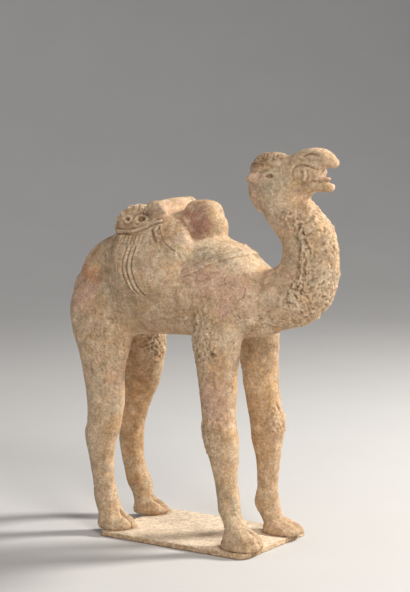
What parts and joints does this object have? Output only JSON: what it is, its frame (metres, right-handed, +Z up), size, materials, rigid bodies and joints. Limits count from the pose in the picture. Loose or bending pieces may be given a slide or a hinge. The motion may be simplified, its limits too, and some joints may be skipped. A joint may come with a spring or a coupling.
{
  "type": "terracotta camel figure",
  "caption": "Laden two-humped pottery camel standing on four straight legs on a thin slab, head raised and mouth open.",
  "frame": {"origin": "middle of the slab's underside", "axes": "+X forward, the way the camel faces; +Y to the camel's left; +Z up"},
  "size_m": [0.5974, 0.2734, 0.7574],
  "materials": {
    "clay": "unglazed low-fired clay, buff with traces of pink, orange and grey cold paint, matt and earthy",
    "slab_clay": "unglazed cream clay slab, matt, with worn edges"
  },
  "bodies": {
    "root": {"camel": "clay", "plinth": "slab_clay"}
  },
  "joints": []
}
